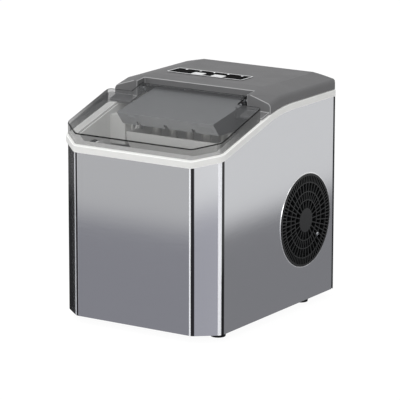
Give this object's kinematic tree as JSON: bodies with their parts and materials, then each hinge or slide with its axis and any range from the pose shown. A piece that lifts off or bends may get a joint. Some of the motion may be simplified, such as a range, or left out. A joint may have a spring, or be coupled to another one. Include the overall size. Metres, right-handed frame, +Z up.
{
  "type": "ice maker",
  "caption": "Countertop ice maker with a bevelled steel body, smoky clear hinged lid, grey cover with a key panel, and a lift-out basket, swinging tray and full cooling unit inside.",
  "frame": {"origin": "on the standing surface, under the middle of the machine", "axes": "+Z up, the front with the lid faces -Y, the round fan grille faces +X"},
  "size_m": [0.2284, 0.2864, 0.2855],
  "materials": {
    "steel": "satin silver sheet",
    "white_trim": "satin",
    "grey_cover": "fine matte",
    "dark_sheet": "matte",
    "zinc_sheet": "zinc plated",
    "black_rubber": "matte",
    "screw_steel": "plated",
    "black_panel": "gloss",
    "clear_lens": "clear",
    "silver_key": "satin",
    "circuit_board": "solder mask",
    "white_plastic": "satin",
    "smoky_lid": "smoky transparent gloss",
    "foam": "foamed in place",
    "grey_hood": "satin",
    "bright_aluminium": "plain",
    "copper": "drawn copper",
    "nickel": "nickel plated",
    "dark_plastic": "matte",
    "hose": "translucent silicone",
    "black_grille": "matte",
    "motor_metal": "satin",
    "black_steel": "black enamel"
  },
  "bodies": {
    "body": {"steel_wrap": "steel", "trim_frame": "white_trim", "top_cover": "grey_cover", "rear_panel": "dark_sheet", "base_pan": "zinc_sheet", "feet": "black_rubber", "foot_screws": "screw_steel", "control_panel": "black_panel", "indicator_lenses": "clear_lens", "control_board": "circuit_board", "board_standoffs": "white_plastic", "lid_hinge_pins": "screw_steel", "inner_tank": "white_plastic", "tank_insulation": "foam", "bulkhead": "zinc_sheet", "evaporator_hood": "grey_hood", "evaporator_plate": "bright_aluminium", "evaporator_tube": "copper", "freezing_fingers": "nickel", "tray_bush": "white_plastic", "tray_motor": "dark_plastic", "ice_chute": "white_plastic", "ice_sensors": "dark_plastic", "water_pump": "dark_plastic", "water_hose": "hose", "drain_fitting": "dark_plastic", "drain_seal": "black_rubber", "fan_grille": "black_grille", "grille_screw": "screw_steel", "fan_bracket": "motor_metal", "fan_motor": "motor_metal", "fan_shroud": "grey_hood", "condenser_fins": "bright_aluminium", "condenser_tube": "copper", "compressor": "black_steel", "compressor_grommets": "black_rubber", "compressor_bolts": "screw_steel", "starter_cover": "dark_plastic", "filter_drier": "copper", "hot_gas_valve": "motor_metal", "discharge_line": "copper", "liquid_line": "copper", "capillary_line": "copper", "suction_line": "copper", "hot_gas_line": "copper", "power_board": "circuit_board", "power_inlet": "dark_plastic", "rear_screws": "screw_steel", "cover_screws": "screw_steel"},
    "lid": {"lid_window": "smoky_lid"},
    "power_key": {"button_power": "silver_key"},
    "select_key": {"button_select": "silver_key"},
    "fan": {"fan_blade": "dark_plastic", "fan_shaft": "screw_steel"},
    "tray": {"water_tray": "white_plastic", "tray_shaft": "screw_steel"},
    "shovel": {"ice_shovel": "white_plastic"},
    "basket": {"ice_basket": "white_plastic"},
    "drain_plug": {"drain_cap": "dark_plastic"}
  },
  "joints": [
    {"name": "lid_hinge", "type": "hinge", "parent": "body", "child": "lid", "pos_m": [0, -0.009, 0.271], "axis": [-1, 0, 0], "range_deg": [0, 105]},
    {"name": "power_key_press", "type": "slide", "parent": "body", "child": "power_key", "axis": [0, 0, -1], "range_m": [0, 0.0008], "stiffness_N_per_m": 700, "springref_m": -0.0006},
    {"name": "select_key_press", "type": "slide", "parent": "body", "child": "select_key", "axis": [0, 0, -1], "range_m": [0, 0.0008], "stiffness_N_per_m": 700, "springref_m": -0.0006},
    {"name": "fan_spin", "type": "hinge", "parent": "body", "child": "fan", "pos_m": [0.07, 0.072, 0.112], "axis": [1, 0, 0], "continuous": true},
    {"name": "tray_tilt", "type": "hinge", "parent": "body", "child": "tray", "pos_m": [0, -0.026, 0.226], "axis": [-1, 0, 0], "range_deg": [0, 80]},
    {"name": "shovel_swing", "type": "hinge", "parent": "body", "child": "shovel", "pos_m": [0, -0.026, 0.226], "axis": [1, 0, 0], "range_deg": [0, 60]},
    {"name": "basket_lift", "type": "slide", "parent": "body", "child": "basket", "axis": [0, 0, 1], "range_m": [0, 0.018]},
    {"name": "drain_plug_pull", "type": "slide", "parent": "body", "child": "drain_plug", "axis": [-1, 0, 0], "range_m": [0, 0.025]}
  ],
  "couplings": [
    {"joint": "shovel_swing", "follows": "tray_tilt", "ratio": 0.75}
  ]
}
